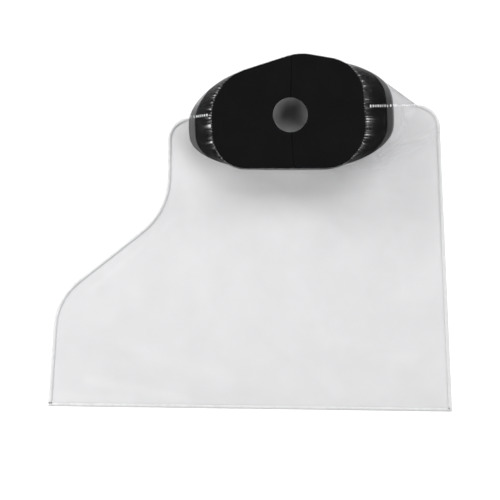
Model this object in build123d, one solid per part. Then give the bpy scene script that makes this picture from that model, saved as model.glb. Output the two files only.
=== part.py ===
from build123d import *
import os
from math import copysign, cos, pi, sin, tan, radians

# Waterproof cover for a bandaged or plastered foot and lower leg, lying flat on its side.
# A clear film bag with a boot outline ends in a black neoprene diaphragm with a round hole.
# +X points to the heel, +Y to the mouth, +Z up from the surface that the bag lies on.
# All sizes are in millimetres. The outline is drawn up from the sole weld, then centred.

# --- bag outline ---
SOLE_LENGTH = 376.0         # along the sole weld, toe to heel
TOE_HEIGHT = 101.0          # sole to the corner over the toes
TOE_LEAN = 5.4              # how far that corner stands in from the end of the sole
TOE_RADIUS = 60.0
ANKLE_HEIGHT = 184.0        # sole to the bend where the instep meets the leg
ANKLE_RADIUS = 64.0
LEG_WIDTH = 252.0           # flat width of the leg part at its shoulders
HEEL_LEAN = 16.0            # how far the heel edge leans in on its way up
SHOULDER_RADIUS = 13.0

# --- film and welds ---
FILM = 0.4                  # thickness of one film
WELD_WIDTH = 3.5            # knurled weld band
BAG_DEPTH = 8.0             # how high the upper film stands over the lower one
BAG_SLOPE = 48.0            # degrees from upright at which the upper film falls to its welds

# --- mouth ---
MOUTH_HEIGHT = 276.0        # sole to the middle of the mouth
MOUTH_OFFSET = 33.0         # middle of the mouth from the middle of the sole, towards the heel
MOUTH_TURN = 4.0            # degrees
FACE_WIDTH = 143.0          # matte face inside its weld
FACE_DEPTH = 106.0
FACE_LIFT = 34.0            # top of the face above the surface
FLANGE_WIDTH = 184.0        # across the skirt that flares out under the film
FLANGE_SHIFT = 4.5          # middle of the flange from the middle of the face
FLANGE_LIFT = 12.0          # lower edge of the flange above the surface
FLANGE_SPREAD = 0.8         # how much deeper the flange is than the face, each way
SHEET = 3.0                 # neoprene
HOLE_DIAMETER = 32.0
HOLE_OFFSET = -4.0          # hole from the middle of the face, towards the foot
SEAM_TURN = 2.0             # degrees that the centre seam leans
SEAM_OFFSET = 2.5           # centre seam from the middle of the hole
SEAM_GAP = 0.2
TAPE_WIDTH = 14.0           # seam tape glued under the face
TAPE = 0.6
TAPE_SIDE_GAP = 1.0         # between the tape and the hole, and the tape and the flange
OVAL_POWER = 2.4            # 2 is an ellipse, more is squarer
OVAL_POINTS = 28            # through which an oval's curve is drawn
HEEL_WEB_TURNS = 0.11       # where the film from each shoulder meets the flange, share of a turn
INSTEP_WEB_TURNS = 0.46

# --- clearances ---
FILM_GAP = 0.3              # between the film and the flange that it lies on
MOVING_GAP = 0.8            # between the mouth and the bag, which move apart
TRIM_GAP = 0.15             # between pieces that end beside each other

# --- worked out from the sizes above ---
HALF_SOLE = SOLE_LENGTH / 2
HEEL_EDGE = HALF_SOLE - HEEL_LEAN       # heel and front edges of the leg part at its shoulders
LEG_EDGE = HEEL_EDGE - LEG_WIDTH
HOLE_RADIUS = HOLE_DIAMETER / 2
FACE_UNDERSIDE = FACE_LIFT - SHEET
COLLAR_SKIN = FILM_GAP + FILM           # the collar's outside, out from the neoprene
UPPER_COLLAR_FOOT = FILM + BAG_DEPTH + MOVING_GAP
LOWER_COLLAR_FOOT = FILM + MOVING_GAP
MOUTH_REACH = FLANGE_WIDTH + FACE_DEPTH     # longer than any piece of the mouth


# --- the mouth's own frame and ovals ---

def mouth_plane(x=0.0, y=0.0):
    """Frame at a place in the mouth, with its X along the line of the side welds."""
    middle = Plane(origin=(MOUTH_OFFSET, MOUTH_HEIGHT, 0)).rotated((0, 0, MOUTH_TURN))
    return middle.shift_origin(middle.from_local_coords(Vector(x, y, 0)))


def hole_plane():
    return mouth_plane(0, HOLE_OFFSET)


def seam_plane():
    """Frame on the centre seam, which leans with its Y along the seam."""
    hole = hole_plane().origin
    return Plane(origin=(hole.X + SEAM_OFFSET, hole.Y, 0)).rotated((0, 0, SEAM_TURN))


def oval_point(half_width, half_depth, turns, shift=0.0):
    """A point of a mouth oval, a share of a turn round from the heel side."""
    angle = 2 * pi * turns
    x = copysign(abs(cos(angle)) ** (2 / OVAL_POWER), cos(angle)) * half_width + shift
    y = copysign(abs(sin(angle)) ** (2 / OVAL_POWER), sin(angle)) * half_depth
    return mouth_plane().from_local_coords(Vector(x, y, 0))


def oval(half_width, half_depth, z, shift=0.0):
    """Face of a mouth oval at a height."""
    shares = [i / OVAL_POINTS for i in range(OVAL_POINTS)]
    ring = [oval_point(half_width, half_depth, share, shift) for share in shares]
    curve = Edge.make_spline([Vector(p.X, p.Y, z) for p in ring], periodic=True)
    return Face(Wire([curve]))


def face_oval(grow, z):
    return oval(FACE_WIDTH / 2 + grow, FACE_DEPTH / 2 + grow, z)


def flange_oval(grow, z):
    half_depth = FACE_DEPTH / 2 + FLANGE_SPREAD
    return oval(FLANGE_WIDTH / 2 + grow, half_depth + grow, z, FLANGE_SHIFT)


def flange_point(turns):
    return oval_point(FLANGE_WIDTH / 2, FACE_DEPTH / 2, turns, FLANGE_SHIFT)


# --- boxes that pick out a strip or a half of the mouth ---

def strip_along_x(plane, width):
    return plane * Box(MOUTH_REACH, width, MOUTH_REACH)


def strip_along_y(plane, width):
    return plane * Box(width, MOUTH_REACH, MOUTH_REACH)


def half_by_x(plane, side, start=0.0):
    """All that lies further than start from the plane's Y axis, on one side of it."""
    return plane * Pos(side * (start + MOUTH_REACH / 2), 0, 0) * Box(*3 * [MOUTH_REACH])


def half_by_y(plane, side, start=0.0):
    """All that lies further than start from the plane's X axis, on one side of it."""
    return plane * Pos(0, side * (start + MOUTH_REACH / 2), 0) * Box(*3 * [MOUTH_REACH])


# --- the mouth ---

def mouth_form(grow, foot):
    """Solid mouth shape: upright from its foot to the flange, then drawn in to the face."""
    upper = loft([flange_oval(grow, FLANGE_LIFT), face_oval(grow, FACE_LIFT)], ruled=True)
    if foot == FLANGE_LIFT:
        return upper
    return extrude(flange_oval(grow, foot), FLANGE_LIFT - foot) + upper


def neoprene_cap():
    """The face with its hole and the flange that hangs round it, in one."""
    hollow = loft(
        [flange_oval(-SHEET, FLANGE_LIFT), face_oval(-SHEET, FACE_UNDERSIDE)], ruled=True
    )
    hole = hole_plane() * Cylinder(HOLE_RADIUS, 4 * FACE_LIFT)
    return mouth_form(0, FLANGE_LIFT) - hollow - hole


def diaphragm_half(side):
    return neoprene_cap() & half_by_x(seam_plane(), side, SEAM_GAP / 2)


def seam_tape(side):
    """Tape glued under the face, from the hole to the flange."""
    inset = SHEET + TAPE + TAPE_SIDE_GAP
    plan = extrude(face_oval(-inset, FACE_UNDERSIDE - TAPE), TAPE)
    past_hole = hole_plane() * Cylinder(HOLE_RADIUS + TAPE_SIDE_GAP, 4 * FACE_LIFT)
    strip = plan & strip_along_y(seam_plane(), TAPE_WIDTH)
    return (strip - past_hole) & half_by_y(hole_plane(), side)


def collar_shell(foot, thickness):
    return mouth_form(FILM_GAP + thickness, foot) - mouth_form(FILM_GAP, foot)


def film_collar(foot, side):
    """The end of one film, gathered over the flange, between the two side welds."""
    return collar_shell(foot, FILM) & half_by_y(mouth_plane(), side, WELD_WIDTH / 2 + TRIM_GAP)


def tail_weld(side):
    """Side weld where it climbs the collar: both films fused, twice as thick."""
    strip = strip_along_x(mouth_plane(), WELD_WIDTH) & half_by_x(mouth_plane(), side)
    return collar_shell(UPPER_COLLAR_FOOT, 2 * FILM) & strip


def mouth_weld():
    """Ring where the film is welded to the face."""
    band = extrude(face_oval(COLLAR_SKIN, FACE_LIFT), FILM)
    return band - extrude(face_oval(COLLAR_SKIN - WELD_WIDTH, FACE_LIFT), FILM)


# --- the bag ---

def bag_outline():
    """Outline of the two side films, closed under the mouth along the side welds."""
    tail = FLANGE_WIDTH / 2 + COLLAR_SKIN + MOVING_GAP
    heel_tail = mouth_plane(FLANGE_SHIFT + tail, 0).origin
    instep_tail = mouth_plane(FLANGE_SHIFT - tail, 0).origin
    rise = tan(radians(MOUTH_TURN))
    corners = [
        (Vector(-HALF_SOLE, 0), 0),
        (Vector(HALF_SOLE, 0), 0),
        (Vector(HEEL_EDGE, heel_tail.Y + (HEEL_EDGE - heel_tail.X) * rise), SHOULDER_RADIUS),
        (Vector(LEG_EDGE, instep_tail.Y + (LEG_EDGE - instep_tail.X) * rise), SHOULDER_RADIUS),
        (Vector(LEG_EDGE, ANKLE_HEIGHT), ANKLE_RADIUS),
        (Vector(-HALF_SOLE + TOE_LEAN, TOE_HEIGHT), TOE_RADIUS),
    ]
    face = Face(Wire.make_polygon([corner for corner, _ in corners], close=True))
    for corner, radius in corners:
        if radius:
            nearest = min(face.vertices(), key=lambda vertex: (Vector(vertex) - corner).length)
            face = face.fillet_2d(radius, [nearest])
    return face


def inside_outline(inset):
    """The bag outline drawn in by a distance."""
    return offset(bag_outline(), amount=-inset, kind=Kind.INTERSECTION)


def mouth_opening():
    """Upright solid over the footprint of the mouth, with room for it to move."""
    return extrude(flange_oval(COLLAR_SKIN + MOVING_GAP, -FILM), FACE_LIFT)


def edge_band(width, thickness):
    """Strip round the outline, left out where the mouth stands."""
    strip = extrude(bag_outline(), thickness) - extrude(inside_outline(width), thickness)
    return strip - mouth_opening()


def web(shoulder_x, turns):
    """The single film that runs from a shoulder up to the far side of the mouth."""
    shoulder = mouth_plane((shoulder_x - MOUTH_OFFSET) / cos(radians(MOUTH_TURN)), 0).origin
    plan = Wire.make_polygon([shoulder, flange_point(turns), mouth_plane().origin], close=True)
    return extrude(Face(plan), FILM, dir=(0, 0, 1))


def lower_film():
    """Flat on the surface, inside the welds, and on under the mouth to its far side."""
    sheet = extrude(bag_outline(), FILM) + extrude(flange_oval(0, 0), FILM)
    heel_web = web(HEEL_EDGE - SHOULDER_RADIUS, HEEL_WEB_TURNS)
    instep_web = web(LEG_EDGE + SHOULDER_RADIUS, INSTEP_WEB_TURNS)
    return sheet + heel_web + instep_web - edge_band(WELD_WIDTH + TRIM_GAP, FILM)


def upper_film():
    """Stands over the lower film, falls to its welds, and is open under the mouth."""
    inset = WELD_WIDTH + TRIM_GAP
    wall = FILM / cos(radians(BAG_SLOPE))
    outer = extrude(Pos(0, 0, FILM) * inside_outline(inset), BAG_DEPTH, taper=BAG_SLOPE)
    hollow = Pos(0, 0, FILM) * inside_outline(inset + wall)
    inner = extrude(hollow, BAG_DEPTH - FILM, taper=BAG_SLOPE)
    return outer - inner - mouth_opening()


def sole_weld():
    """Both films fused, twice as thick, from the toe corner to the heel corner."""
    strip = Pos(0, WELD_WIDTH / 2, 0) * Box(SOLE_LENGTH, WELD_WIDTH, 4 * FILM)
    return edge_band(WELD_WIDTH, 2 * FILM) & strip


def side_weld(side):
    """Weld up the heel edge or the instep edge, round the shoulder and in to the mouth."""
    start = WELD_WIDTH + TRIM_GAP
    half = Box(SOLE_LENGTH, SOLE_LENGTH, 4 * FILM)
    place = Pos(MOUTH_OFFSET + side * SOLE_LENGTH / 2, start + SOLE_LENGTH / 2, 0)
    return edge_band(WELD_WIDTH, 2 * FILM) & (place * half)


def build_pieces():
    return {
        "lower_film": lower_film(),
        "upper_film": upper_film(),
        "sole_weld": sole_weld(),
        "heel_weld": side_weld(1),
        "instep_weld": side_weld(-1),
        "diaphragm_heel_half": diaphragm_half(1),
        "diaphragm_instep_half": diaphragm_half(-1),
        "seam_tape_lower": seam_tape(1),
        "seam_tape_upper": seam_tape(-1),
        "lower_film_collar": film_collar(LOWER_COLLAR_FOOT, 1),
        "upper_film_collar": film_collar(UPPER_COLLAR_FOOT, -1),
        "heel_tail_weld": tail_weld(1),
        "instep_tail_weld": tail_weld(-1),
        "mouth_weld": mouth_weld(),
    }


def export_pieces(pieces):
    """Centre the whole cover over the origin, with its underside at zero, and write it."""
    boxes = [piece.bounding_box() for piece in pieces.values()]
    middle_y = (min(box.min.Y for box in boxes) + max(box.max.Y for box in boxes)) / 2
    os.makedirs("parts", exist_ok=True)
    for name, piece in pieces.items():
        export_step(Pos(0, -middle_y, 0) * piece, f"parts/{name}.step")
    hole = hole_plane().origin
    print(f"outline drawn back by {middle_y:.3f}")
    print(f"hole centre {hole.X:.3f}, {hole.Y - middle_y:.3f}")
    print(f"tilt line y {middle_y:.3f}")


export_pieces(build_pieces())
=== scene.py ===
from math import acos, atan2, ceil, cos, pi, radians, sin, tan

import bpy
import numpy as np
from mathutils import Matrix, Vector
from mathutils.geometry import delaunay_2d_cdt


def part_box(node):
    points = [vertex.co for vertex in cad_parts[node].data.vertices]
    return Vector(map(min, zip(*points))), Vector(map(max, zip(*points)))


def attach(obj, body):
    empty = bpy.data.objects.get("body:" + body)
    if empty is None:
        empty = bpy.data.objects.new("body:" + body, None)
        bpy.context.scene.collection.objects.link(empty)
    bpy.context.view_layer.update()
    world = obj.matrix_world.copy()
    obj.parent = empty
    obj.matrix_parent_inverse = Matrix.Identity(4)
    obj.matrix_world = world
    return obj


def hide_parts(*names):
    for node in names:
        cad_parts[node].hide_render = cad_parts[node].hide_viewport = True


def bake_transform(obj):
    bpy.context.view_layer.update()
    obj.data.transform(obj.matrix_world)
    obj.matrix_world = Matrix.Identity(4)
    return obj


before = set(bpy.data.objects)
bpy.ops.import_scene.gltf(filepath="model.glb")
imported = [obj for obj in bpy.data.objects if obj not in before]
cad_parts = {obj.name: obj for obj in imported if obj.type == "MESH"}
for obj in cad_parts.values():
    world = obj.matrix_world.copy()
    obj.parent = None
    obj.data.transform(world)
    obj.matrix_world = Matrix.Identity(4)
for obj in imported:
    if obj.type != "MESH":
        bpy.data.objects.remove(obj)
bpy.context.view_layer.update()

# Waterproof cast cover: two clear films welded round the edge, gathered at the mouth over a
# neoprene diaphragm. Sizes are in millimetres and become metres in mesh_piece().
MM = 0.001

# --- outline of the two films, up from the sole ---
HALF_SOLE = 188.0
HEEL_EDGE = 172.0
LEG_EDGE = -80.0
ANKLE_HEIGHT = 184.0
TOE_HEIGHT = 101.0
TOE_LEAN = 5.4
TOE_RADIUS = 60.0
ANKLE_RADIUS = 64.0
SHOULDER_RADIUS = 20.0
OUTLINE_STEP = 2.0                  # between points of the outline
FACE_STEP = 0.2                     # between points of the face's rim

# --- mouth ---
MOUTH_OFFSET = 33.0                 # from the middle of the sole to the middle of the mouth
MOUTH_HEIGHT = 276.0                # up from the sole
MOUTH_TURN = radians(4.0)
FACE_Z = 34.0                       # height of the matte face over the surface
FLANGE_Z = 19.0                     # where the collar ends and the thin lip begins
LIP_Z = 18.2                        # at the lip's outer edge
# Corners of the matte face along and across the mouth, each with the radius that rounds it.
FACE_SIDE = 68.5                    # from the middle to the heel side's straight run
FACE_CORNERS = [
    (FACE_SIDE, 39.5, 36.0),
    (10.8, 52.5, 45.0),
    (-72.0, 31.0, 46.0),
    (-73.5, -48.7, 32.0),
    (FACE_SIDE, -56.6, 38.0),
]
# How far the collar and the thin lip past it stand out on each side: the full widths, where
# across the mouth they are full, how far from there they end, and how sharply.
NARROW_COLLAR = 0.9                 # width left at the front and the rear
NARROW_LIP = 0.7
SIDEWAYS = 0.3                      # under 1 the wide collar leans out along the mouth
HEEL_COLLAR = dict(
    wide=19.6, lip=6.6, middle=-5.0, rear=46.0, front=46.0, rear_power=3, front_power=3,
)
INSTEP_COLLAR = dict(
    wide=14.0, lip=6.0, middle=-9.0, rear=47.0, front=36.0, rear_power=2, front_power=3,
)
SHEET = 3.0                         # neoprene
LIP_SHEET = 1.1                     # neoprene skived thin for the lip
HOLE_RADIUS = 16.0
HOLE_BACK = -4.0                    # across the mouth
SEAM_PLACES = (4.3, 0.7)            # along the mouth, where the centre seam meets the rim
HEEL_WEB = 26.0                     # across the mouth, where the films' rear edges leave the lip
INSTEP_WEB = 24.0

# --- film ---
FILM_GAP = 0.35                     # the film's height over the neoprene
FILM_LIE = 0.08                     # height of the film that lies on the surface
EDGE_Z = 0.30                       # middle of the weld round the edge
BAG_RISE = 4.4                      # how high the upper film stands over the lower one
BAG_REACH = 13.0                    # how far in from the weld it gets there
FRONT_REACH = 46.0                  # over which it comes down from the mouth
REAR_DROP = 1.2                     # how far it stands out behind the mouth
GATHER_PITCH = (2.5, 3.6)           # at the heel side and the instep side
LOWEST_PLEAT = 0.35                 # share of the highest
PLEAT_HEIGHT = 1.25
# painted highlight: how strongly the pleat crests are made milky white
PLEAT_PAINTED_HIGHLIGHT = 2.8
SWELL_HEIGHT = 0.5
COLLAR_HAZE = 0.003
MOST_HAZE = 0.97
ROUND = 1200                        # steps round the mouth
GRID = 2.6                          # spacing of the film's points
FLOOR_GRID = 5.0

# --- welds ---
WELD_WIDTH = 3.4
WELD_PITCH = 2.0
WELD_THICK = 0.2

sole_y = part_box("sole_weld")[0][1] / MM
mouth_x = MOUTH_OFFSET
mouth_y = sole_y + MOUTH_HEIGHT


# --- plan shapes ---

def in_plan(u, v):
    """Points given along and across the mouth, in the frame's own plan."""
    u, v = np.broadcast_arrays(np.asarray(u, float), np.asarray(v, float))
    x = mouth_x + u * cos(MOUTH_TURN) - v * sin(MOUTH_TURN)
    y = mouth_y + u * sin(MOUTH_TURN) + v * cos(MOUTH_TURN)
    return np.stack([x, y], -1)


def across_mouth(points):
    """How far each point lies behind the line of the side welds."""
    return (points[:, 1] - mouth_y) * cos(MOUTH_TURN) - (points[:, 0] - mouth_x) * sin(MOUTH_TURN)


def side_line(x):
    """Point of the side welds' line at an X."""
    return (x, mouth_y + (x - mouth_x) * tan(MOUTH_TURN))


def rounded_path(corners, step):
    """Open path through (x, y, radius) corners, in steps, with the length run at each point."""
    bends = []
    for i, (x, y, radius) in enumerate(corners):
        corner = np.array((x, y))
        if radius == 0:
            bends.append([corner])
            continue
        back = np.array(corners[i - 1][:2]) - corner
        ahead = np.array(corners[i + 1][:2]) - corner
        back /= np.linalg.norm(back)
        ahead /= np.linalg.norm(ahead)
        half = acos(float(np.clip(back @ ahead, -1, 1))) / 2
        middle = back + ahead
        centre = corner + middle / np.linalg.norm(middle) * radius / sin(half)
        first = corner + back * radius / tan(half) - centre
        last = corner + ahead * radius / tan(half) - centre
        start = atan2(first[1], first[0])
        sweep = (atan2(last[1], last[0]) - start + pi) % (2 * pi) - pi
        count = max(4, ceil(abs(sweep) * radius / step))
        angles = start + sweep * np.arange(count + 1) / count
        bends.append([centre + radius * np.array((cos(a), sin(a))) for a in angles])
    points = [bends[0][0]]
    for bend in bends[1:]:
        run = bend[0] - points[-1]
        count = max(1, ceil(np.linalg.norm(run) / step))
        start = points[-1]
        points += [start + run * (k + 1) / count for k in range(count)]
        points += bend[1:]
    return np.array(points)


def face_outline():
    """The rim of the matte face: its points, and the share of a turn at each.

    Half a turn goes round the rear and half round the front, from one side weld to the other.
    """
    ends = [(FACE_SIDE, 0.0, 0)]
    points = rounded_path(ends + FACE_CORNERS + ends, FACE_STEP)
    run = np.concatenate([[0], np.cumsum(np.linalg.norm(np.diff(points, axis=0), axis=1))])
    instep = points[:, 0] < -FACE_SIDE / 2
    half = np.interp(0.0, -points[instep, 1], run[instep])
    share = np.where(run < half, run / half / 2, 0.5 + (run - half) / (run[-1] - half) / 2)
    return points, share


face_points, face_shares = face_outline()


def die_away(across, side):
    """How much of its full width the collar has at places across the mouth."""
    past = across - side["middle"]
    rear = np.clip(past / side["rear"], 0, 1) ** side["rear_power"]
    front = np.clip(-past / side["front"], 0, 1) ** side["front_power"]
    return 1 - rear - front


def unit(vectors):
    """Vectors made one long."""
    return vectors / np.linalg.norm(vectors, axis=-1)[..., None]


def mouth_points(line, turns):
    """Points of the rim, flange or lip along and across the mouth, at shares of a turn."""
    share = np.asarray(turns, float) % 1.0
    rim = np.stack([np.interp(share, face_shares, face_points[:, k]) for k in (0, 1)], -1)
    if line == "rim":
        return rim
    wide, lip = 0.0, 0.0
    for side, here in ((HEEL_COLLAR, rim[..., 0] > 0), (INSTEP_COLLAR, rim[..., 0] <= 0)):
        full = die_away(rim[..., 1], side) * here
        wide = wide + side["wide"] * full
        lip = lip + side["lip"] * full ** 3
    narrow, sideways = NARROW_COLLAR, wide
    if line == "lip":
        narrow, sideways = narrow + NARROW_LIP, sideways + lip
    outwards = unit(rim)
    beside = rim * (1, SIDEWAYS)
    beside = unit(beside)
    return rim + outwards * narrow + beside * np.asarray(sideways)[..., None]


def mouth_line(line, turns, grow=0.0):
    """Points of the rim, flange or lip in plan, moved outwards by a distance."""
    points = mouth_points(line, turns)
    if grow:
        turns = np.asarray(turns)
        run = mouth_points(line, turns + 0.002) - mouth_points(line, turns - 0.002)
        run = unit(run)
        points = points + np.stack([run[..., 1], -run[..., 0]], -1) * grow
    return in_plan(points[..., 0], points[..., 1])


def rim_oval(turns, grow=0.0):
    return mouth_line("rim", turns, grow)


def flange_oval(turns, grow=0.0):
    return mouth_line("flange", turns, grow)


def lip_oval(turns, grow=0.0):
    return mouth_line("lip", turns, grow)


def turn_at(place, axis, near):
    """Share of a turn where the rim passes a place on an axis, on the side that near names."""
    other = 1 - axis
    side = face_points[:, other] * near > 0
    nearest = np.argmin(np.abs(face_points[side, axis] - place))
    return face_shares[side][nearest]


def side_corner(x, radius):
    return (*side_line(x), radius)


heel_tail = lip_oval(0.0)
instep_tail = lip_oval(0.5)
EDGE_CORNERS = [
    (*heel_tail, 0),
    side_corner(HEEL_EDGE, SHOULDER_RADIUS),
    (HALF_SOLE, sole_y, 0),
    (-HALF_SOLE, sole_y, 0),
    (-HALF_SOLE + TOE_LEAN, sole_y + TOE_HEIGHT, TOE_RADIUS),
    (LEG_EDGE, sole_y + ANKLE_HEIGHT, ANKLE_RADIUS),
    side_corner(LEG_EDGE, SHOULDER_RADIUS),
    (*instep_tail, 0),
]
edge_path = rounded_path(EDGE_CORNERS, OUTLINE_STEP)


def straight(a, b, step):
    """Points from a to b, without b."""
    count = max(1, ceil(np.linalg.norm(np.subtract(b, a)) / step))
    return np.array([np.add(a, np.subtract(b, a) * k / count) for k in range(count)])


def web_start(tail):
    """Index in edge_path where the straight run from the mouth ends, at a shoulder."""
    order = range(1, len(edge_path) - 1)
    if tail == "instep":
        order = reversed(order)
    for i in order:
        if abs(across_mouth(edge_path[i:i + 1])[0]) > 0.02:
            return i + (1 if tail == "instep" else -1)


heel_web_turn = turn_at(HEEL_WEB, 1, 1)
instep_web_turn = turn_at(INSTEP_WEB, 1, -1)
heel_turn = web_start("heel")
instep_turn = web_start("instep")
turns_round = np.arange(ROUND) / ROUND
behind = (turns_round >= heel_web_turn) & (turns_round <= instep_web_turn)
rear_line = lip_oval(turns_round[behind], REAR_DROP)
heel_web = straight(edge_path[heel_turn], rear_line[0], OUTLINE_STEP)
instep_web = straight(rear_line[-1], edge_path[instep_turn], OUTLINE_STEP)
back_line = np.vstack([heel_web, rear_line, instep_web, edge_path[instep_turn:instep_turn + 1]])
silhouette = np.vstack([edge_path[heel_turn:instep_turn + 1], back_line[::-1][1:-1]])


def inside(points, loop):
    """Which points a closed loop holds."""
    x, y = points[:, 0][:, None], points[:, 1][:, None]
    ax, ay = loop[:, 0][None], loop[:, 1][None]
    bx, by = np.roll(loop[:, 0], -1)[None], np.roll(loop[:, 1], -1)[None]
    crosses = (ay > y) != (by > y)
    with np.errstate(divide="ignore", invalid="ignore"):
        left = x < (bx - ax) * (y - ay) / (by - ay) + ax
    return np.sum(crosses & left, axis=1) % 2 == 1


def distance(points, line, closed=False):
    """Shortest way from each point to a line of points."""
    ends = np.roll(line, -1, axis=0) if closed else line[1:]
    starts = line if closed else line[:-1]
    nearest = np.full(len(points), 1e9)
    for a, b in zip(starts, ends):
        run = b - a
        share = np.clip((points - a) @ run / max(run @ run, 1e-12), 0, 1)
        gap = points - a - share[:, None] * run
        nearest = np.minimum(nearest, (gap * gap).sum(1))
    return np.sqrt(nearest)


def smooth(x):
    x = np.clip(x, 0, 1)
    return x * x * (3 - 2 * x)


# --- heights of the film ---

# Soft creases in the upper film: from, to (both up from the sole), width and height.
CREASES = [
    ((-150, 25), (-60, 8), 7, 0.9),
    ((-120, 60), (-20, 30), 9, 0.7),
    ((60, 70), (150, 50), 8, 0.8),
    ((40, 125), (70, 60), 7, 0.7),
    ((-60, 210), (-45, 90), 8, 0.7),
    ((0, 90), (80, 20), 9, 0.6),
    ((120, 200), (140, 110), 8, 0.7),
    ((10, 205), (95, 150), 11, 0.8),
    ((-20, 220), (50, 175), 9, 0.7),
    ((-186, 7), (-112, 6), 9, 0.9),
    ((-150, 108), (-70, 178), 4, 0.6),
]
ripple = np.random.RandomState(11)
# Long soft waves: direction, wavelength, start and height.
RIPPLES = [
    (
        ripple.uniform(0, pi),
        ripple.uniform(28, 95),
        ripple.uniform(0, 2 * pi),
        ripple.uniform(0.08, 0.24),
    )
    for _ in range(14)
]


def crease_lines():
    """The line, width and height of each soft crease."""
    for start, end, width, size in CREASES:
        yield np.array([(start[0], start[1] + sole_y), (end[0], end[1] + sole_y)], float), width, size


def wrinkles(points):
    """Unevenness of loose film that lies flat."""
    height = np.zeros(len(points))
    for turn, length, start, size in RIPPLES:
        along = points[:, 0] * cos(turn) + points[:, 1] * sin(turn)
        height += size * np.sin(2 * pi * along / length + start)
    for line, width, size in crease_lines():
        height += fold(points, line, width, size)
    return height


# Folds that run from the shoulders to the front of the mouth.
HEEL_FOLD = np.array([(172, 101), (158, 90), (138, 83), (127, 77), (117, 70)], float)
INSTEP_FOLD = np.array([(-76, 82), (-62, 78), (-49, 68)], float)


def near(points, line, width):
    """1 on a line, dying away over a width."""
    return np.exp(-(distance(points, line) / width) ** 2)


def fold(points, line, width, size):
    """Height of a soft ridge along a line."""
    return size * near(points, line, width)


FRONT_FADE = 45.0                   # how far in front of the side welds the bag is fully open
MOST_RISE = 8.2
WRINKLES = 0.35
LIP_COVER = FILM_GAP + 0.35         # the film's height over the lip's outer edge
HEEL_FOLD_SIZE = (6.0, 1.8)         # width and height
INSTEP_FOLD_SIZE = (2.2, 0.6)


def film_top(points):
    """Height of the upper surface outside the mouth."""
    to_edge = distance(points, silhouette, closed=True)
    to_mouth = distance(points, lip_oval(turns_round), closed=True)
    front = smooth(-across_mouth(points) / FRONT_FADE)
    rise = BAG_RISE * (1 - np.exp(-to_edge / BAG_REACH))
    rise += WRINKLES * wrinkles(points) * smooth(to_edge / 16)
    low = EDGE_Z + np.clip(rise, 0, MOST_RISE) * front
    reach = np.minimum(to_mouth + to_edge, FRONT_REACH)
    share = np.clip(to_mouth / np.maximum(reach, 1e-6), 0, 1)
    fall = front * (1 - share) ** 2 + (1 - front) * (1 - share)
    top = low + (LIP_Z + LIP_COVER - low) * fall
    room = smooth(to_mouth / 6) * smooth(to_edge / 4)
    folds = fold(points, HEEL_FOLD, *HEEL_FOLD_SIZE) + fold(points, INSTEP_FOLD, *INSTEP_FOLD_SIZE)
    return top + room * folds


def film_bottom(points):
    """Height of the lower film, which lies on the surface."""
    to_edge = distance(points, silhouette, closed=True)
    return FILM_LIE + (EDGE_Z - FILM_LIE) * (1 - smooth(to_edge / 5))


# --- meshes ---

def mesh_piece(name, points, faces, material, smooth_faces=True):
    """A piece from points in millimetres."""
    mesh = bpy.data.meshes.new(name)
    mesh.from_pydata([tuple(float(c) * MM for c in p) for p in points], [], [tuple(f) for f in faces])
    mesh.validate()
    mesh.materials.append(material)
    if smooth_faces:
        mesh.polygons.foreach_set("use_smooth", [True] * len(mesh.polygons))
    mesh.update()
    piece = bpy.data.objects.new(name, mesh)
    bpy.context.scene.collection.objects.link(piece)
    return piece


def set_values(piece, name, values):
    attribute = piece.data.attributes.new(name, "FLOAT", "POINT")
    attribute.data.foreach_set("value", np.asarray(values, float))


def fill(loop, inner):
    """Triangles over the plan inside a loop."""
    count = len(loop)
    edges = [(i, (i + 1) % count) for i in range(count)]
    points = [Vector(p) for p in np.vstack([loop, inner])]
    result = delaunay_2d_cdt(points, edges, [], 0, 1e-6)
    placed = np.array([tuple(p) for p in result[0]])
    faces = np.array([f for f in result[2] if len(f) == 3])
    return placed, faces[inside(placed[faces].mean(axis=1), loop)]


def grid_points(loop, step, clear):
    """Staggered points inside a loop, clear of its edge."""
    low, high = loop.min(axis=0), loop.max(axis=0)
    rows = np.arange(low[1], high[1], step * 0.866)
    columns = np.arange(low[0], high[0], step)
    points = np.array([(x + (j % 2) * step / 2, y) for j, y in enumerate(rows) for x in columns])
    points = points[inside(points, loop)]
    return points[distance(points, loop, closed=True) > clear]


def beside(line, gap, loop):
    """Points a given way in from a line, inside a loop."""
    run = unit(np.gradient(line, axis=0))
    across = np.stack([-run[:, 1], run[:, 0]], -1)
    both = np.vstack([line + across * gap, line - across * gap])
    both = both[inside(both, loop)]
    return both[distance(both, loop, closed=True) > gap * 0.97]


# Rows of points beside the mouth: how far out, and which of the steps round it.
MOUTH_ROWS = ((0.5, 1), (1.1, 2), (2.0, 3), (3.4, 4), (5.2, 5), (7.2, 5), (9.4, 6), (11.6, 6))
EDGE_ROWS = (1.7, 3.6)
GRID_CLEAR_OF_EDGE = 5.2
GRID_CLEAR_OF_MOUTH = 12.6
ROWS_CLEAR_OF_MOUTH = 2.0


def outer_points(loop, mouth_turns, step):
    """Points for film outside the mouth: close rows by the edge and the mouth, a grid between."""
    rows = []
    for gap, every in MOUTH_ROWS:
        ring = lip_oval(mouth_turns[::every], gap)
        ring = ring[inside(ring, loop)]
        rows.append(ring[distance(ring, loop, closed=True) > gap * 0.9])
    edge_rows = np.vstack([beside(edge_path, gap, loop) for gap in EDGE_ROWS])
    grid = grid_points(loop, step, GRID_CLEAR_OF_EDGE)
    mouth = lip_oval(turns_round)
    grid = grid[distance(grid, mouth, closed=True) > GRID_CLEAR_OF_MOUTH]
    edge_rows = edge_rows[distance(edge_rows, mouth, closed=True) > ROWS_CLEAR_OF_MOUTH]
    return np.vstack([*rows, edge_rows, grid])


# --- the collar, from the rim to the lip ---

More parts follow.
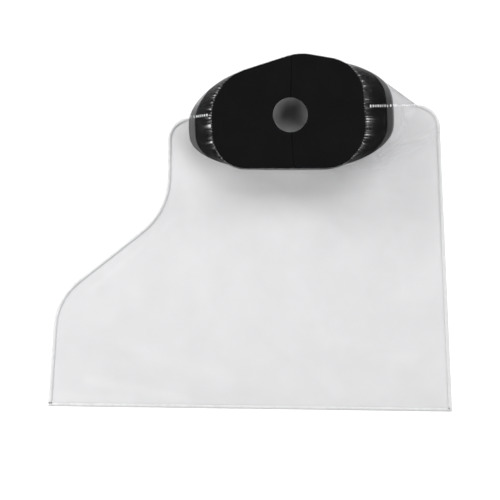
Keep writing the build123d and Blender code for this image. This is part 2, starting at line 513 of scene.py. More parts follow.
def collar_height(share):
    """Height at a share of the way from the rim to the flange: round at the rim, then steeper."""
    return FACE_Z - (FACE_Z - FLANGE_Z) * (0.45 * share + 0.55 * share ** 1.8)


def gathers(turns):
    """Height of the pleats round the mouth, from 0 to about 1, and the painted highlight on their
    crests.
    """
    ring = rim_oval(turns)
    steps = np.linalg.norm(ring - np.roll(ring, 1, axis=0), axis=1)
    instep_side = (1 - np.cos(2 * pi * turns)) / 2
    pitch = GATHER_PITCH[0] + (GATHER_PITCH[1] - GATHER_PITCH[0]) * smooth(instep_side)
    count = np.cumsum(steps / pitch)
    count *= round(count[-1]) / count[-1]
    count += 0.22 * np.sin(2 * pi * turns * 37 + 1.0) + 0.15 * np.sin(2 * pi * turns * 61 + 2.2)
    number = np.floor(count).astype(int)
    pleats = int(count.max()) + 3
    height = np.random.RandomState(21).uniform(LOWEST_PLEAT, 1.0, pleats)[number]
    glint = (np.random.RandomState(22).uniform(0.0, 1.0, pleats) ** 2)[number]
    crest = height * np.maximum(np.sin(pi * (count % 1.0)), 0) ** 2.5
    # painted highlight on the crests, brighter on a random few
    return crest, crest ** 2 * (0.45 + glint)


def unevenness(turns, seed, waves):
    """Smooth random values round the mouth, from 0 to 1."""
    source = np.random.RandomState(seed)
    total = np.zeros(len(turns))
    for wave in waves:
        total += source.uniform(0.5, 1) * np.sin(2 * pi * (turns * wave + source.uniform(0, 1)))
    total -= total.min()
    return total / total.max()


# Rows of points over the collar, close together by the rim where the pleats are, and over the lip.
COLLAR_ROWS = np.concatenate([np.linspace(0, 0.5, 15), np.linspace(0.54, 1.0, 10)])
LIP_ROWS = np.array([0.06, 0.35, 0.7, 1.0])


def collar_rows(turns):
    """Rows of points over the collar, pleated by the rim, and the haze of each, with painted
    highlights on the pleat crests.
    """
    # the second value is the painted highlight on the pleat crests
    pleat, crest = gathers(turns)
    strength = 0.65 + 0.35 * unevenness(turns, 3, (5, 9, 14, 23, 31))
    length = 0.30 + 0.45 * unevenness(turns, 4, (7, 13, 19, 29, 41))
    swell = unevenness(turns, 5, (11, 17, 23)) - 0.5
    rim = rim_oval(turns, FILM_GAP)
    flange = flange_oval(turns, FILM_GAP)
    rows, hazes = [], []
    for share in COLLAR_ROWS:
        z = np.full(len(turns), collar_height(share) + FILM_GAP)
        fade = smooth(share / 0.04) * (1 - smooth((share - 0.03) / length))
        z += PLEAT_HEIGHT * pleat * strength * fade
        z += SWELL_HEIGHT * swell * smooth(share / 0.3) * smooth((1 - share) / 0.25)
        # painted highlight: milky white pleat crests close to the rim
        highlight_reach = smooth(share / 0.03) * np.exp(-share / (0.04 + 0.11 * length))
        rows.append(np.column_stack([rim + (flange - rim) * share, z]))
        hazes.append(np.minimum(COLLAR_HAZE + PLEAT_PAINTED_HIGHLIGHT * crest * strength * highlight_reach, MOST_HAZE))
    return rows, hazes


def lip_rows(turns):
    """Rows of points over the thin lip, streaky and milkier at the rear, and the haze of each."""
    flange = flange_oval(turns, FILM_GAP)
    lip = lip_oval(turns)
    streaks = unevenness(turns, 8, (90, 131, 173))
    reach = smooth(np.linalg.norm(lip - flange, axis=1) / 3.0)
    rear = smooth(np.sin(2 * pi * turns) * 3)
    instep_side = smooth(-np.cos(2 * pi * turns) * 3)
    rows, hazes = [], []
    for share in LIP_ROWS:
        plan = flange + (lip - flange) * share
        z = (FLANGE_Z + FILM_GAP) + (LIP_Z + LIP_COVER - FILM_GAP - FLANGE_Z) * share
        milk = 0.085 + 0.10 * rear + (0.07 + 0.22 * rear) * instep_side + 0.05 * streaks * share
        rows.append(np.column_stack([plan, np.full(len(turns), z)]))
        hazes.append(COLLAR_HAZE + 0.001 + milk * reach)
    return rows, hazes


def collar_grid():
    """Points of the film from the rim out to the lip, row by row, with the haze of each."""
    rows, hazes = collar_rows(turns_round)
    more_rows, more_hazes = lip_rows(turns_round)
    return rows + more_rows, hazes + more_hazes


def strip_faces(rows, first, last, offset=0):
    """Quads between rows of points, for a range of steps round the mouth."""
    count = last - first + 1
    faces = []
    for r in range(rows - 1):
        for k in range(count - 1):
            a = offset + r * count + k
            faces.append((a, a + count, a + count + 1, a + 1))
    return faces


def collar_half(rear):
    """The collar's rows on one side of the side welds, and their haze."""
    rows, hazes = collar_grid()
    half = ROUND // 2
    pick = np.arange(0, half + 1) if rear else np.arange(half, ROUND + 1) % ROUND
    return [row[pick] for row in rows], [haze_and_painted_light[pick] for haze_and_painted_light in hazes]


def joined(name, parts, material):
    """One piece from (points, faces, haze) parts that share points along their edges."""
    points, faces, haze_and_painted_light = [], [], []
    for part_points, part_faces, part_haze in parts:
        start = len(points)
        points += [tuple(p) for p in part_points]
        haze_and_painted_light += list(part_haze)
        faces += [tuple(start + int(i) for i in f) for f in part_faces]
    index, kept, kept_haze, renamed = {}, [], [], []
    for point, value in zip(points, haze_and_painted_light):
        key = tuple(round(c, 3) for c in point)
        if key not in index:
            index[key] = len(kept)
            kept.append(point)
            kept_haze.append(value)
        renamed.append(index[key])
    clean = []
    for face in faces:
        ring = [renamed[i] for i in face]
        if len(set(ring)) == len(ring):
            clean.append(ring)
    piece = mesh_piece(name, kept, clean, material)
    set_values(piece, "haze_and_painted_light", kept_haze)
    return piece


def upwards(points, faces):
    """Triangles turned so that they face up."""
    a, b, c = points[faces[:, 0]], points[faces[:, 1]], points[faces[:, 2]]
    turn = (b[:, 0] - a[:, 0]) * (c[:, 1] - a[:, 1]) - (b[:, 1] - a[:, 1]) * (c[:, 0] - a[:, 0])
    faces = faces.copy()
    faces[turn < 0] = faces[turn < 0][:, ::-1]
    return faces


FILM_HAZE = 0.075
CREASE_HIGHLIGHT_CLEARING = 0.7               # share of the haze that a soft crease takes away, a painted highlight along it
RIM_HIGHLIGHT_HALF = 64.0               # half the length of the painted highlight line under the front of the rim


def painted_crease_highlight(points):
    """Painted highlight along the soft creases: how much clearer the film is made there, from 0 to 1.
    """
    light = np.zeros(len(points))
    for line, width, size in crease_lines():
        light += size * near(points, line, width * 0.8)
    return np.clip(light, 0, 1)


def film_milk_and_painted_light(points, top):
    """How milky the film looks, with painted light: painted shade near the mouth, most on its heel
    side, and under the heel fold; painted highlights along the creases, the heel fold and under the
    front of the rim.
    """
    value = np.full(len(points), FILM_HAZE)
    if not top:
        return value
    to_mouth = distance(points, lip_oval(turns_round), closed=True)
    along = points[:, 0] - mouth_x
    heel_side = smooth(along / 90)
    # painted highlights: clearer, lighter film along the soft creases
    value *= 1 - CREASE_HIGHLIGHT_CLEARING * painted_crease_highlight(points)
    # painted shade: milkier, darker film round the mouth, most on the heel side
    value += 0.38 * heel_side * np.exp(-to_mouth / (26 + 16 * heel_side))
    # painted shade under the heel fold, and a painted highlight along its top
    value += 0.16 * near(points, HEEL_FOLD + (0, -5), 6)
    value -= 0.12 * near(points, HEEL_FOLD + (0, 1), 3) * heel_side
    # painted highlight: a thin light line just under the front of the rim
    painted_rim_highlight = (across_mouth(points) < 0) * smooth((RIM_HIGHLIGHT_HALF - np.abs(along)) / 8)
    value += 0.45 * np.exp(-((to_mouth - 0.5) / 0.4) ** 2) * painted_rim_highlight
    return np.clip(value, 0.01, 1)


def make_upper_film(material):
    half = ROUND // 2
    arc = lip_oval(turns_round[half:])
    loop = np.vstack([edge_path, arc[1:]])
    inner = outer_points(loop, turns_round, GRID)
    plan, faces = fill(loop, inner)
    z = film_top(plan)
    rows, hazes = collar_half(rear=False)
    plan_points = match_row(np.column_stack([plan, z]), rows[-1])
    parts = [
        (plan_points, upwards(plan, faces), film_milk_and_painted_light(plan, True)),
        (np.vstack(rows), strip_faces(len(rows), 0, half), np.concatenate(hazes)),
    ]
    return joined("bag_upper_film", parts, material)


def match_row(points, row):
    """Lays points that stand on a row's plan exactly on that row."""
    heights = {tuple(np.round(p[:2], 3)): p[2] for p in row}
    for p in points:
        key = tuple(np.round(p[:2], 3))
        if key in heights:
            p[2] = heights[key]
    return points


def make_lower_film(material):
    half = ROUND // 2
    arc = lip_oval(turns_round[:half + 1])
    tail_heel = edge_path[1:heel_turn]
    tail_instep = edge_path[instep_turn + 1:-1]
    loop = np.vstack([arc[:1], tail_heel, back_line, tail_instep, arc[::-1][:-1]])
    inner = grid_points(loop, GRID, 1.2)
    plan, faces = fill(loop, inner)
    rows, hazes = collar_half(rear=True)
    top_points = match_row(np.column_stack([plan, film_top(plan)]), rows[-1])
    floor_inner = grid_points(silhouette, FLOOR_GRID, 2.0)
    floor_plan, floor_faces = fill(silhouette, floor_inner)
    floor_points = np.column_stack([floor_plan, film_bottom(floor_plan)])
    on_edge = distance(floor_plan, silhouette, closed=True) < 1e-3
    floor_points[on_edge, 2] = film_top(floor_plan[on_edge])
    parts = [
        # painted shade: the lower film's web behind the mouth is made a little milkier, so darker
        (top_points, upwards(plan, faces), film_milk_and_painted_light(plan, True) + 0.04),
        (np.vstack(rows), strip_faces(len(rows), 0, half), np.concatenate(hazes)),
        (floor_points, upwards(floor_plan, floor_faces)[:, ::-1], film_milk_and_painted_light(floor_plan, False)),
    ]
    return joined("bag_lower_film", parts, material)


# --- the neoprene ---

SEAM_EASE = 0.9                     # how far from the seam the face rolls down
SEAM_DROP = 0.7
HALF_STEPS = 260                    # steps round each half
EASED = 0.15                        # by which the cut edges are rounded
RIM_INSET = 2.5                     # how far in the underside turns down


def diaphragm_rings(turns, hole_centre):
    """Rings of one half's section: hole, face, collar and lip, and back along the underside."""
    rim = rim_oval(turns)
    flange = flange_oval(turns)
    lip = lip_oval(turns, -0.4)
    towards = unit(rim - hole_centre)
    out = unit(flange - rim)

    def hole_ring(grow):
        return hole_centre + towards * (HOLE_RADIUS + grow)

    edge = hole_ring(0.5)
    rings = [
        (hole_ring(0.0), FACE_Z - SHEET + 0.4),
        (hole_ring(0.0), FACE_Z - 0.5),
        (hole_ring(EASED), FACE_Z - EASED),
        (edge, FACE_Z),
    ]
    for share in np.linspace(0.03, 0.97, 40):
        rings.append((edge + (rim - edge) * share, FACE_Z))
    for share in np.linspace(0.0, 1.0, 14):
        rings.append((rim + (flange - rim) * share, collar_height(share)))
    for share in (0.3, 0.65, 0.95):
        rings.append((flange + (lip - flange) * share, FLANGE_Z + (LIP_Z - FLANGE_Z) * share))
    rings.append((lip, LIP_Z - EASED))
    rings.append((lip, LIP_Z - LIP_SHEET + EASED))
    rings.append((flange + (lip - flange) * 0.9, LIP_Z - LIP_SHEET))
    rings.append((flange - out * 2.2, FLANGE_Z - LIP_SHEET))
    for share in np.linspace(0.9, 0.05, 8):
        under = rim + (flange - rim) * share - out * 2.4
        rings.append((under, collar_height(share) - SHEET * 0.9))
    inner_rim = rim - towards * RIM_INSET
    inner_edge = hole_ring(0.4)
    rings.append((inner_rim, FACE_Z - SHEET))
    for share in (0.66, 0.33, 0.0):
        rings.append((inner_edge + (inner_rim - inner_edge) * share, FACE_Z - SHEET))
    return rings


def closed_section_faces(rings, steps):
    """Faces of a shell whose section is a closed row of rings, with both ends capped."""
    count = steps + 1
    faces = []
    for r in range(rings):
        for k in range(steps):
            a = r * count + k
            b = ((r + 1) % rings) * count + k
            faces.append((a, b, b + 1, a + 1))
    faces.append([r * count for r in range(rings)][::-1])
    faces.append([r * count + steps for r in range(rings)])
    return faces


def diaphragm_half(name, first, last, material):
    """One half of the diaphragm, as a closed shell between two places on the rim."""
    turns = first + (last - first) * np.arange(HALF_STEPS + 1) / HALF_STEPS
    hole_centre = in_plan(0, HOLE_BACK)
    rim = rim_oval(turns)
    rim_far = np.linalg.norm(rim - hole_centre, axis=1)
    arc = np.concatenate([[0], np.cumsum(np.linalg.norm(np.diff(rim, axis=0), axis=1))])
    to_seam = np.minimum(arc, arc[-1] - arc)
    rings = diaphragm_rings(turns, hole_centre)
    points = []
    for plan, z in rings:
        scale = np.linalg.norm(plan - hole_centre, axis=1) / rim_far
        dip = SEAM_DROP * (1 - smooth(to_seam * scale / SEAM_EASE))
        points.append(np.column_stack([plan, np.full(len(turns), z) - dip]))
    faces = closed_section_faces(len(rings), HALF_STEPS)
    return mesh_piece(name, np.vstack(points), faces, material)


# --- welds ---

WELD_SIZES = ("Band Width", "Band Thickness", "Rib Pitch", "Rib Width", "Rib Length", "Rib Height")


def weld_band(tree, start, path):
    """The flat band along the path, in its own material."""
    node = tree.nodes.new
    link = tree.links.new
    profile = node("GeometryNodeCurvePrimitiveQuadrilateral")
    link(start.outputs["Band Width"], profile.inputs["Width"])
    link(start.outputs["Band Thickness"], profile.inputs["Height"])
    band = node("GeometryNodeCurveToMesh")
    band.inputs["Fill Caps"].default_value = True
    link(path, band.inputs["Curve"])
    link(profile.outputs["Curve"], band.inputs["Profile Curve"])
    finish = node("GeometryNodeSetMaterial")
    link(band.outputs["Mesh"], finish.inputs["Geometry"])
    link(start.outputs["Band Material"], finish.inputs["Material"])
    return finish.outputs["Geometry"]


def weld_ribs(tree, start, path):
    """Round ribs across the path, one at each pitch, in their own material."""
    node = tree.nodes.new
    link = tree.links.new
    spots = node("GeometryNodeCurveToPoints")
    spots.mode = "LENGTH"
    link(path, spots.inputs["Curve"])
    link(start.outputs["Rib Pitch"], spots.inputs["Length"])
    rib = node("GeometryNodeMeshUVSphere")
    rib.inputs["Segments"].default_value = 8
    rib.inputs["Rings"].default_value = 5
    rib.inputs["Radius"].default_value = 0.5
    size = node("ShaderNodeCombineXYZ")
    link(start.outputs["Rib Width"], size.inputs["X"])
    link(start.outputs["Rib Height"], size.inputs["Y"])
    link(start.outputs["Rib Length"], size.inputs["Z"])
    shaped = node("GeometryNodeTransform")
    link(rib.outputs["Mesh"], shaped.inputs["Geometry"])
    link(size.outputs["Vector"], shaped.inputs["Scale"])
    ribs = node("GeometryNodeInstanceOnPoints")
    link(spots.outputs["Points"], ribs.inputs["Points"])
    link(shaped.outputs["Geometry"], ribs.inputs["Instance"])
    link(spots.outputs["Rotation"], ribs.inputs["Rotation"])
    real = node("GeometryNodeRealizeInstances")
    link(ribs.outputs["Instances"], real.inputs["Geometry"])
    shade = node("GeometryNodeSetShadeSmooth")
    link(real.outputs["Geometry"], shade.inputs["Geometry"])
    finish = node("GeometryNodeSetMaterial")
    link(shade.outputs["Geometry"], finish.inputs["Geometry"])
    link(start.outputs["Rib Material"], finish.inputs["Material"])
    return finish.outputs["Geometry"]


def knurled_weld_tree():
    """Geometry Nodes: a flat band along a path, with round ribs across it."""
    tree = bpy.data.node_groups.new("knurled_weld", "GeometryNodeTree")
    face = tree.interface
    face.new_socket("Geometry", in_out="INPUT", socket_type="NodeSocketGeometry")
    for name in WELD_SIZES:
        face.new_socket(name, in_out="INPUT", socket_type="NodeSocketFloat")
    for name in ("Band Material", "Rib Material"):
        face.new_socket(name, in_out="INPUT", socket_type="NodeSocketMaterial")
    face.new_socket("Geometry", in_out="OUTPUT", socket_type="NodeSocketGeometry")
    node = tree.nodes.new
    link = tree.links.new
    start = node("NodeGroupInput")
    end = node("NodeGroupOutput")
    curve = node("GeometryNodeMeshToCurve")
    link(start.outputs["Geometry"], curve.inputs["Mesh"])
    level = node("GeometryNodeSetCurveNormal")
    level.mode = "Z_UP"
    link(curve.outputs["Curve"], level.inputs["Curve"])
    both = node("GeometryNodeJoinGeometry")
    link(weld_band(tree, start, level.outputs["Curve"]), both.inputs["Geometry"])
    link(weld_ribs(tree, start, level.outputs["Curve"]), both.inputs["Geometry"])
    link(both.outputs["Geometry"], end.inputs["Geometry"])
    return tree


def weld_piece(name, path, band, rib, tree, **sizes):
    """A plain mesh of a knurled weld along a path of points in millimetres."""
    mesh = bpy.data.meshes.new(name)
    edges = [(i, i + 1) for i in range(len(path) - 1)]
    mesh.from_pydata([tuple(float(c) * MM for c in p) for p in path], edges, [])
    piece = bpy.data.objects.new(name, mesh)
    bpy.context.scene.collection.objects.link(piece)
    modifier = piece.modifiers.new("weld", "NODES")
    modifier.node_group = tree
    values = dict(
        band_width=WELD_WIDTH, band_thickness=WELD_THICK, rib_pitch=WELD_PITCH,
        rib_width=WELD_WIDTH * 0.9, rib_length=1.1, rib_height=0.45,
    )
    values.update(sizes)
    for item in tree.interface.items_tree:
        key = item.name.lower().replace(" ", "_")
        if item.in_out == "INPUT" and key in values:
            modifier[item.identifier] = values[key] * MM
        if item.in_out == "INPUT" and item.name == "Band Material":
            modifier[item.identifier] = band
        if item.in_out == "INPUT" and item.name == "Rib Material":
            modifier[item.identifier] = rib
    bpy.context.view_layer.update()
    ready = piece.evaluated_get(bpy.context.evaluated_depsgraph_get())
    final = bpy.data.meshes.new_from_object(ready)
    piece.modifiers.remove(modifier)
    piece.data = final
    return piece


def inset_path(path, inset):
    """A path moved in towards the bag."""
    run = unit(np.gradient(path, axis=0))
    return path + np.stack([run[:, 1], -run[:, 0]], -1) * inset


TAIL_END = 0.22                     # how near the tails come to the rim, share of the collar
TAIL_SIZES = dict(
    band_width=1.0, band_thickness=0.2, rib_pitch=2.9, rib_length=1.3, rib_width=3.0, rib_height=0.8,
)
RING_SIZES = dict(
    band_width=0.2, band_thickness=0.2, rib_pitch=2.4, rib_length=0.5, rib_width=1.1, rib_height=0.5,
)
SIDE_SIZES = dict(rib_pitch=2.4)


def tail_path(turn):
    """From near the rim, over the flange, to the outer edge of the lip."""
    index = int(turn * ROUND) % ROUND
    rows, _ = collar_grid()
    shares = np.concatenate([COLLAR_ROWS, 1 + LIP_ROWS])
    climb = [row[index] for row, share in zip(rows, shares) if share >= TAIL_END]
    return np.array(climb)


def side_run(heel):
    """The side weld's line in plan from the lip to the sole, and the index of its shoulder."""
    sole_first = int(np.argmin(np.linalg.norm(edge_path - (HALF_SOLE, sole_y), axis=1)))
    sole_last = int(np.argmin(np.linalg.norm(edge_path - (-HALF_SOLE, sole_y), axis=1)))
    if heel:
        run, corner, inwards = edge_path[1:sole_first + 1], heel_turn, 1
    else:
        run, corner, inwards = edge_path[sole_last:-1][::-1], len(edge_path) - 1 - instep_turn, -1
    shift = inset_path(run, WELD_WIDTH / 2 * inwards)
    ease = smooth((np.arange(len(run)) - corner + 4) / 8)[:, None]
    return run + (shift - run) * ease, corner


def tail_weld_path(heel):
    """Up one side's collar from near the rim, over the lip, and down the web to the shoulder."""
    run, corner = side_run(heel)
    run = run[:corner]
    return np.vstack([tail_path(0.0 if heel else 0.5), np.column_stack([run, film_top(run)])])


def side_weld_path(heel):
    """Round one side's shoulder and down the edge to the sole."""
    run, corner = side_run(heel)
    run = run[corner - 1:-1]
    return np.column_stack([run, np.full(len(run), EDGE_Z)])


def sole_weld_path():
    y = sole_y + WELD_WIDTH / 2
    xs = np.arange(-HALF_SOLE + 0.3, HALF_SOLE - 0.2, 2.0)
    return np.column_stack([xs, np.full(len(xs), y), np.full(len(xs), EDGE_Z)])


RING_STEPS = 720


def rim_path():
    """Round the rim of the face, and tucked down beside it where the collar is narrow."""
    turns = np.arange(RING_STEPS + 1) / RING_STEPS
    collar = np.linalg.norm(flange_oval(turns) - rim_oval(turns), axis=1)
    shown = smooth(collar / 5 - 0.4)
    ring = rim_oval(turns) * shown[:, None] + rim_oval(turns, 0.45) * (1 - shown[:, None])
    return np.column_stack([ring, FACE_Z + 0.2 - 2.5 * (1 - shown)])


# --- materials ---

def new_material(name):
    material = bpy.data.materials.new(name)
    material.use_nodes = True
    nodes = material.node_tree.nodes
    nodes.clear()
    output = nodes.new("ShaderNodeOutputMaterial")
    return material, nodes, material.node_tree.links, output


def new_node(nodes, kind, values):
    """A node with the values of its inputs."""
    node = nodes.new(kind)
    for name, value in values.items():
        node.inputs[name].default_value = value
    return node


def object_noise(nodes, links, scale, detail, spot=None):
    """Noise fixed to the piece, in waves per metre."""
    where = spot or nodes.new("ShaderNodeTexCoord")
    noise = new_node(nodes, "ShaderNodeTexNoise", {"Scale": scale, "Detail": detail})
    links.new(where.outputs["Object"], noise.inputs["Vector"])
    return noise


def to_range(nodes, links, source, low, high):
    """Noise spread over a range of its own."""
    ends = {"From Min": 0.3, "From Max": 0.7, "To Min": low, "To Max": high}
    spread = new_node(nodes, "ShaderNodeMapRange", ends)
    links.new(source, spread.inputs["Value"])
    return spread.outputs["Result"]


def tinted(nodes, links, share, first, second):
    """A colour between two, by a share."""
    tint = nodes.new("ShaderNodeMix")
    tint.data_type = "RGBA"
    tint.inputs["A"].default_value = first
    tint.inputs["B"].default_value = second
    links.new(share, tint.inputs["Factor"])
    return tint.outputs["Result"]


def relief(nodes, links, height, strength, depth):
    """Normals of a surface raised by a pattern, with the depth in metres."""
    bump = new_node(nodes, "ShaderNodeBump", {"Strength": strength, "Distance": depth})
    links.new(height, bump.inputs["Height"])
    return bump.outputs["Normal"]


def milk_share(nodes, links, spot):
    """How much of the film is milk: its haze attribute, painted shade and highlights included, a
    little cloudy.
    """
    haze_and_painted_light = nodes.new("ShaderNodeAttribute")
    haze_and_painted_light.attribute_name = "haze_and_painted_light"
    cloud = object_noise(nodes, links, 22, 3, spot)
    vary = nodes.new("ShaderNodeMath")
    vary.operation = "MULTIPLY"
    links.new(haze_and_painted_light.outputs["Fac"], vary.inputs[0])
    links.new(to_range(nodes, links, cloud.outputs["Fac"], 0.8, 1.2), vary.inputs[1])
    return vary.outputs["Value"]


def film_shine(nodes, links, rumple):
    """How much the film reflects: little from above, most edge on."""
    facing = new_node(nodes, "ShaderNodeLayerWeight", {"Blend": 0.5})
    links.new(rumple, facing.inputs["Normal"])
    edge_on = nodes.new("ShaderNodeMath")
    edge_on.operation = "POWER"
    edge_on.inputs[1].default_value = 5.0
    links.new(facing.outputs["Facing"], edge_on.inputs[0])
    shine = nodes.new("ShaderNodeMath")
    shine.operation = "MULTIPLY_ADD"
    shine.inputs[1].default_value = 0.45
    shine.inputs[2].default_value = 0.0022
    links.new(edge_on.outputs["Value"], shine.inputs[0])
    return shine.outputs["Value"]


def mixed(nodes, links, share, first, second):
    """Two shaders mixed by a share."""
    mix = nodes.new("ShaderNodeMixShader")
    links.new(share, mix.inputs["Fac"])
    links.new(first, mix.inputs[1])
    links.new(second, mix.inputs[2])
    return mix.outputs["Shader"]


def film_material():
    """Clear soft film: see-through, a little milky, glossy and finely rumpled."""
    material, nodes, links, output = new_material("clear_film")
    clear = new_node(nodes, "ShaderNodeBsdfTransparent", {"Color": (0.895, 0.895, 0.898, 1)})
    milky = {"Base Color": (0.50, 0.50, 0.51, 1), "Roughness": 0.4}
    milk = new_node(nodes, "ShaderNodeBsdfPrincipled", milky)
    gloss = new_node(nodes, "ShaderNodeBsdfGlossy", {"Color": (0.6, 0.6, 0.6, 1), "Roughness": 0.1})
    spot = nodes.new("ShaderNodeTexCoord")
    crumple = object_noise(nodes, links, 130, 4, spot)
    rumple = relief(nodes, links, crumple.outputs["Fac"], 0.35, 0.0006)
    links.new(rumple, gloss.inputs["Normal"])
    links.new(rumple, milk.inputs["Normal"])
    haze_and_painted_light, shine = milk_share(nodes, links, spot), film_shine(nodes, links, rumple)
    body = mixed(nodes, links, haze_and_painted_light, clear.outputs["BSDF"], milk.outputs["BSDF"])
    both = mixed(nodes, links, shine, body, gloss.outputs["BSDF"])
    links.new(both, output.inputs["Surface"])
    return material


def weld_material(name, low, high):
    """Clear film pressed into a milky strip, with the least and most that it hides."""
    material, nodes, links, output = new_material(name)
    clear = new_node(nodes, "ShaderNodeBsdfTransparent", {"Color": (0.995, 0.995, 0.997, 1)})
    milky = {"Base Color": (0.93, 0.935, 0.945, 1), "Roughness": 0.25}
    milk = new_node(nodes, "ShaderNodeBsdfPrincipled", milky)
    cloud = object_noise(nodes, links, 300, 2)
    share = to_range(nodes, links, cloud.outputs["Fac"], low, high)
    body = mixed(nodes, links, share, clear.outputs["BSDF"], milk.outputs["BSDF"])
    links.new(body, output.inputs["Surface"])
    return material


def fused_material(name, dark, light):
    """Edge where both films are fused: opaque and milky, a little uneven."""
    material, nodes, links, output = new_material(name)
    skin = new_node(nodes, "ShaderNodeBsdfPrincipled", {"Roughness": 0.35})
    cloud = object_noise(nodes, links, 260, 2)
    share = to_range(nodes, links, cloud.outputs["Fac"], 0, 1)
    low, high = ((tone, tone, tone * 1.005, 1) for tone in (dark, light))
    links.new(tinted(nodes, links, share, low, high), skin.inputs["Base Color"])
    links.new(skin.outputs["BSDF"], output.inputs["Surface"])
    return material


def neoprene_material():
    """Matte black neoprene with a close knitted facing."""
    material, nodes, links, output = new_material("black_neoprene")
    matte = {"Roughness": 0.88, "Specular IOR Level": 0.02}
    skin = new_node(nodes, "ShaderNodeBsdfPrincipled", matte)
    spot = nodes.new("ShaderNodeTexCoord")
    cloud = object_noise(nodes, links, 45, 4, spot)
    low, high = (0.0036, 0.0036, 0.0039, 1), (0.0056, 0.0056, 0.0060, 1)
    links.new(tinted(nodes, links, cloud.outputs["Fac"], low, high), skin.inputs["Base Color"])
    knit = new_node(nodes, "ShaderNodeTexVoronoi", {"Scale": 1500})
    links.new(spot.outputs["Object"], knit.inputs["Vector"])
    links.new(relief(nodes, links, knit.outputs["Distance"], 0.5, 0.0002), skin.inputs["Normal"])
    links.new(skin.outputs["BSDF"], output.inputs["Surface"])
    return material


def tape_material():
    """Woven black sealing tape."""
    material, nodes, links, output = new_material("woven_tape")
    black = {"Base Color": (0.02, 0.02, 0.022, 1), "Roughness": 0.7}
    skin = new_node(nodes, "ShaderNodeBsdfPrincipled", black)
    spot = nodes.new("ShaderNodeTexCoord")
    weave = new_node(nodes, "ShaderNodeTexWave", {"Scale": 700})
    links.new(spot.outputs["Object"], weave.inputs["Vector"])
    links.new(relief(nodes, links, weave.outputs["Fac"], 0.5, 0.0002), skin.inputs["Normal"])
    links.new(skin.outputs["BSDF"], output.inputs["Surface"])
    return material


def floor_material():
    material, nodes, links, output = new_material("white_table")
    skin = new_node(nodes, "ShaderNodeBsdfPrincipled", {
        "Base Color": (0.9, 0.9, 0.9, 1),
        "Roughness": 0.9,
        "Specular IOR Level": 0.1,
    })
    links.new(skin.outputs["BSDF"], output.inputs["Surface"])
    return material


# --- stage ---

LIGHT_LEVEL = 0.72
FLOOR_Z = -0.05                     # just under the film, so that the two never share a plane
FLOOR_REACH = 4.0                   # metres
WORLD_LIGHT = 0.08
CAMERA_HEIGHT = 2.2
CAMERA_TURN = radians(0.78)
LENS = 170.3


def area_light(name, place, aim, size, power):
    """A soft box or strip, its place and size in metres, turned towards a point."""
    lamp = bpy.data.lights.new(name, "AREA")
    lamp.shape = "RECTANGLE"
    lamp.size, lamp.size_y = size
    lamp.energy = power * LIGHT_LEVEL
    light = bpy.data.objects.new(name, lamp)
    light.location = place
    light.rotation_euler = (Vector(aim) - Vector(place)).to_track_quat("-Z", "Y").to_euler()
    bpy.context.scene.collection.objects.link(light)
    return light


LIGHTS = (                          # name, place, aim, size and power, in metres and watts
    ("key_softbox", (0.15, 1.5, 1.45), (0, 0.05, 0), (1.6, 1.0), 36),
    ("left_softbox", (-1.6, -0.2, 1.35), (0, 0, 0), (1.0, 1.4), 34),
    ("right_softbox", (1.6, -0.2, 1.35), (0, 0, 0), (1.0, 1.4), 32),
    ("front_softbox", (0, -1.7, 1.3), (0, 0, 0), (1.4, 0.8), 12),
    ("rear_left_strip", (-1.0, 0.75, 0.42), (-0.05, 0.1, 0), (0.6, 0.1), 17),
    ("rear_right_strip", (1.05, 0.75, 0.40), (0.1, 0.1, 0), (0.6, 0.08), 12),
    ("front_left_strip", (-0.5, -1.1, 0.42), (-0.05, 0.0, 0), (0.5, 0.06), 5),
)


def make_stage():
    """A white floor, large soft boxes all round, and low strips that pick out the pleats."""
    reach = FLOOR_REACH / MM
    corners = [(-reach, -reach), (reach, -reach), (reach, reach), (-reach, reach)]
    points = [(x, y, FLOOR_Z) for x, y in corners]
    floor = mesh_piece("floor", points, [(0, 1, 2, 3)], floor_material(), False)
    for light in LIGHTS:
        area_light(*light)
    world = bpy.data.worlds.new("studio")
    world.use_nodes = True
    back = world.node_tree.nodes["Background"]
    back.inputs["Color"].default_value = (1, 1, 1, 1)
    back.inputs["Strength"].default_value = WORLD_LIGHT
    bpy.context.scene.world = world
    bpy.context.scene.view_settings.view_transform = "Standard"


def make_camera():
    """Straight down from above, a little turned."""
    camera = bpy.data.cameras.new("camera")
    camera.lens = LENS
    camera.sensor_width = 36
    camera.clip_end = 20
    holder = bpy.data.objects.new("camera", camera)
    holder.location = (-0.0020, -0.0181, CAMERA_HEIGHT)
    holder.rotation_euler = (0, 0, CAMERA_TURN)
    bpy.context.scene.collection.objects.link(holder)
    bpy.context.scene.camera = holder


# --- the cover ---

def make_films(film):
    upper = make_upper_film(film)
    lower = make_lower_film(film)
    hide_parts("upper_film", "upper_film_collar")
    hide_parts("lower_film", "lower_film_collar")
    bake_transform(upper)
    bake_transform(lower)


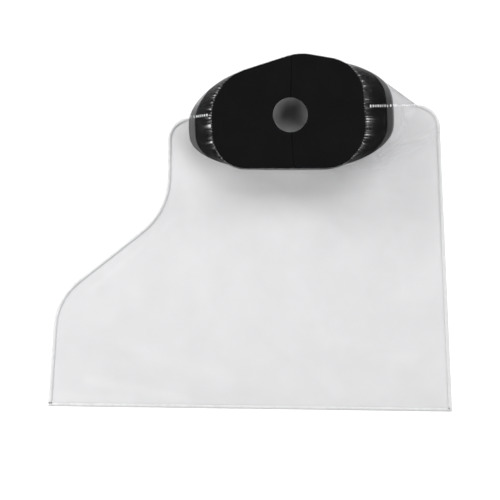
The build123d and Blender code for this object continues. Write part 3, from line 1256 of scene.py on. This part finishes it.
def make_diaphragm(neoprene):
    rear = turn_at(SEAM_PLACES[0], 0, 1)
    front = turn_at(SEAM_PLACES[1], 0, -1)
    heel_half = diaphragm_half("neoprene_heel_half", front - 1, rear, neoprene)
    instep_half = diaphragm_half("neoprene_instep_half", rear, front, neoprene)
    for half in (heel_half, instep_half):
        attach(half, "mouth")
    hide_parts("diaphragm_heel_half")
    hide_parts("diaphragm_instep_half")


def make_welds(edge, tail, ring):
    """The welds, each of a band and its ribs: round the bag, up the collar and round the rim."""
    tree = knurled_weld_tree()
    heel_line, instep_line = side_weld_path(True), side_weld_path(False)
    sole = weld_piece("sole_weld_knurled", sole_weld_path(), *edge, tree)
    heel = weld_piece("heel_weld_knurled", heel_line, *edge, tree, **SIDE_SIZES)
    instep = weld_piece("instep_weld_knurled", instep_line, *edge, tree, **SIDE_SIZES)
    rim = weld_piece("mouth_weld_ring", rim_path(), *ring, tree, **RING_SIZES)
    heel_tail, instep_tail = (
        weld_piece(name, tail_weld_path(side), *tail, tree, **TAIL_SIZES)
        for name, side in (("heel_tail_knurled", True), ("instep_tail_knurled", False))
    )
    for piece in (sole, heel, instep):
        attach(piece, "bag")
    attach(rim, "mouth")
    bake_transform(heel_tail)
    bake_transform(instep_tail)
    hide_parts("sole_weld")
    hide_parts("heel_weld")
    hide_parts("heel_tail_weld")
    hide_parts("instep_weld")
    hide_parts("instep_tail_weld")
    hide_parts("mouth_weld")


def build():
    film = film_material()
    edge = fused_material("weld_band", 0.65, 0.71), fused_material("weld_rib", 0.64, 0.80)
    tail = weld_material("tail_weld_band", 0.0, 0.12), weld_material("tail_weld_rib", 0.08, 0.8)
    ring = weld_material("rim_weld_band", 0.0, 0.03), weld_material("rim_weld_rib", 0.0, 0.4)
    neoprene = neoprene_material()
    tape = tape_material()
    make_films(film)
    make_diaphragm(neoprene)
    make_welds(edge, tail, ring)
    for name in ("seam_tape_lower", "seam_tape_upper"):
        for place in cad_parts[name].material_slots:
            place.material = tape


make_camera()
build()
make_stage()
